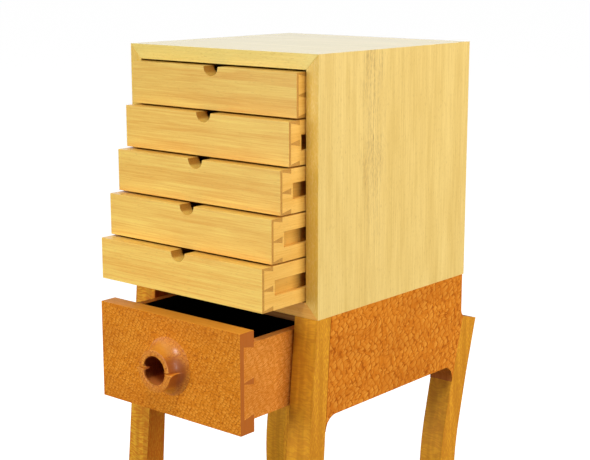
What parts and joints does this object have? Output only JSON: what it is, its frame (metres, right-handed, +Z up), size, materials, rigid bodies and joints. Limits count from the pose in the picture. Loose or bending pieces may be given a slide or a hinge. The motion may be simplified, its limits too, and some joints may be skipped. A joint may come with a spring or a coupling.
{
  "type": "small drawer cabinet on a stand",
  "caption": "Mitred case of shallow dovetailed drawers with finger notches, on a stand with raked legs and a deep drawer with a round hollow pull.",
  "frame": {"origin": "on the floor, at the middle of the box round the cabinet with its drawers standing out as stored", "axes": "+Z up, +Y to the back, +X to the right of someone facing the drawers"},
  "size_m": [0.416, 0.5996, 0.922],
  "materials": {
    "case_wood": "oiled pale quarter-sawn timber, satin",
    "drawer_front_wood": "oiled golden timber, satin",
    "drawer_side_wood": "planed and waxed timber",
    "panel_wood": "sanded panel",
    "runner_wood": "planed and waxed timber",
    "leg_wood": "oiled golden-brown timber with ray fleck, satin",
    "apron_lacewood": "oiled lacewood with scale figure, satin",
    "deep_front_lacewood": "oiled lacewood with fine fleck, satin",
    "deep_side_lacewood": "oiled lacewood with faint figure, satin",
    "frame_wood": "planed timber, unfinished",
    "screw_steel": "zinc-plated steel"
  },
  "bodies": {
    "cabinet": {"case_top": "case_wood", "case_bottom": "case_wood", "case_side_left": "case_wood", "case_side_right": "case_wood", "case_back": "panel_wood", "runners_left": "runner_wood", "runners_right": "runner_wood", "runner_screws": "screw_steel", "leg_front_left": "leg_wood", "leg_front_right": "leg_wood", "leg_rear_left": "leg_wood", "leg_rear_right": "leg_wood", "apron_left": "apron_lacewood", "apron_right": "apron_lacewood", "apron_rear": "apron_lacewood", "rail_top_front": "frame_wood", "rail_top_rear": "frame_wood", "kicker_left": "frame_wood", "kicker_right": "frame_wood", "rail_low_front": "frame_wood", "rail_low_rear": "frame_wood", "bearer_left": "frame_wood", "bearer_right": "frame_wood", "case_screws": "screw_steel"},
    "drawer_1": {"drawer_1_front": "drawer_front_wood", "drawer_1_side_left": "drawer_side_wood", "drawer_1_side_right": "drawer_side_wood", "drawer_1_back": "drawer_side_wood", "drawer_1_bottom": "panel_wood"},
    "drawer_2": {"drawer_2_front": "drawer_front_wood", "drawer_2_side_left": "drawer_side_wood", "drawer_2_side_right": "drawer_side_wood", "drawer_2_back": "drawer_side_wood", "drawer_2_bottom": "panel_wood"},
    "drawer_3": {"drawer_3_front": "drawer_front_wood", "drawer_3_side_left": "drawer_side_wood", "drawer_3_side_right": "drawer_side_wood", "drawer_3_back": "drawer_side_wood", "drawer_3_bottom": "panel_wood"},
    "drawer_4": {"drawer_4_front": "drawer_front_wood", "drawer_4_side_left": "drawer_side_wood", "drawer_4_side_right": "drawer_side_wood", "drawer_4_back": "drawer_side_wood", "drawer_4_bottom": "panel_wood"},
    "drawer_5": {"drawer_5_front": "drawer_front_wood", "drawer_5_side_left": "drawer_side_wood", "drawer_5_side_right": "drawer_side_wood", "drawer_5_back": "drawer_side_wood", "drawer_5_bottom": "panel_wood"},
    "deep_drawer": {"deep_front": "deep_front_lacewood", "deep_side_left": "deep_side_lacewood", "deep_side_right": "deep_side_lacewood", "deep_back": "deep_side_lacewood", "deep_bottom": "panel_wood", "pull": "deep_front_lacewood", "pull_screw": "screw_steel"}
  },
  "joints": [
    {"name": "drawer_1_slide", "type": "slide", "parent": "cabinet", "child": "drawer_1", "axis": [0, -1, 0], "range_m": [-0.0196, 0.2404]},
    {"name": "drawer_2_slide", "type": "slide", "parent": "cabinet", "child": "drawer_2", "axis": [0, -1, 0], "range_m": [-0.0372, 0.2228]},
    {"name": "drawer_3_slide", "type": "slide", "parent": "cabinet", "child": "drawer_3", "axis": [0, -1, 0], "range_m": [-0.0568, 0.2032]},
    {"name": "drawer_4_slide", "type": "slide", "parent": "cabinet", "child": "drawer_4", "axis": [0, -1, 0], "range_m": [-0.0768, 0.1832]},
    {"name": "drawer_5_slide", "type": "slide", "parent": "cabinet", "child": "drawer_5", "axis": [0, -1, 0], "range_m": [-0.098, 0.162]},
    {"name": "deep_drawer_slide", "type": "slide", "parent": "cabinet", "child": "deep_drawer", "axis": [0, -1, 0], "range_m": [-0.1224, 0.1276]}
  ]
}
